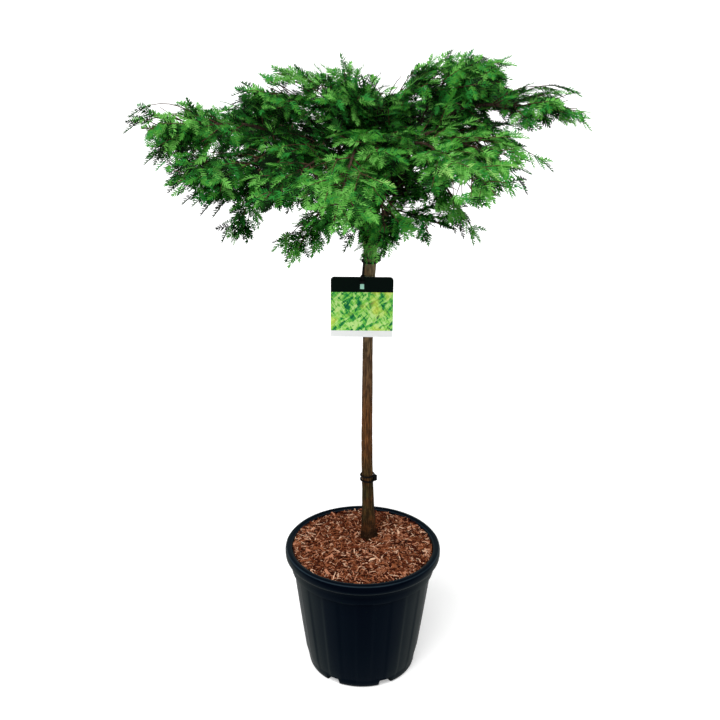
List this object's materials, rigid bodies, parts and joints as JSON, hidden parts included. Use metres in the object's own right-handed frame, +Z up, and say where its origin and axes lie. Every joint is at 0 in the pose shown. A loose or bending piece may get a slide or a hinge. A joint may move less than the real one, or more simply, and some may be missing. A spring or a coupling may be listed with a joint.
{
  "type": "potted dawn redwood standard",
  "caption": "Dawn redwood grown as a standard: straight clean trunk with a low wide umbrella crown of feathery sprays, in a ribbed black nursery pot topped with wood chips.",
  "frame": {"origin": "centre of the pot's flat underside, on the floor", "axes": "+Z up along the trunk; -Y towards the front, where the label hangs; +X to the right as seen from the front"},
  "size_m": [0.8162, 0.7193, 1.2632],
  "materials": {
    "pot_plastic": "satin black, moulded",
    "compost": "damp and crumbly",
    "wood_chips": "rough, reddish brown",
    "trunk_bark": "finely fissured bark",
    "bough_bark": "thin flaking bark",
    "foliage": "soft flat needles",
    "tie_cord": "matt black",
    "label_card": "smooth printed sheet",
    "label_strap": "matt black"
  },
  "bodies": {
    "root": {"pot": "pot_plastic", "compost": "compost", "wood_chips": "wood_chips", "trunk": "trunk_bark", "bough_left_tip": "bough_bark", "foliage_left_tip": "foliage", "bough_right_tip": "bough_bark", "foliage_right_tip": "foliage", "bough_top_right": "bough_bark", "foliage_top_right": "foliage", "bough_top_left": "bough_bark", "foliage_top_left": "foliage", "bough_top_middle": "bough_bark", "foliage_top_middle": "foliage", "bough_front": "bough_bark", "foliage_front": "foliage", "bough_back": "bough_bark", "foliage_back": "foliage", "bough_left_low": "bough_bark", "foliage_left_low": "foliage", "bough_right_low": "bough_bark", "foliage_right_low": "foliage", "bough_front_right": "bough_bark", "foliage_front_right": "foliage", "bough_back_left": "bough_bark", "foliage_back_left": "foliage", "bough_back_right": "bough_bark", "foliage_back_right": "foliage", "bough_under_right": "bough_bark", "foliage_under_right": "foliage", "bough_left_back": "bough_bark", "foliage_left_back": "foliage", "bough_right_back": "bough_bark", "foliage_right_back": "foliage", "bough_mid_right": "bough_bark", "foliage_mid_right": "foliage", "bough_mid_left": "bough_bark", "foliage_mid_left": "foliage", "bough_mid_front": "bough_bark", "foliage_mid_front": "foliage", "bough_front_left": "bough_bark", "foliage_front_left": "foliage", "bough_top_back": "bough_bark", "foliage_top_back": "foliage", "bough_hang_left": "bough_bark", "foliage_hang_left": "foliage", "bough_hang_front_left": "bough_bark", "foliage_hang_front_left": "foliage", "bough_hang_front": "bough_bark", "foliage_hang_front": "foliage", "bough_hang_right": "bough_bark", "foliage_hang_right": "foliage", "bough_hang_back": "bough_bark", "foliage_hang_back": "foliage", "lower_tie": "tie_cord", "upper_tie": "tie_cord", "label_card": "label_card", "label_strap": "label_strap"}
  },
  "joints": []
}
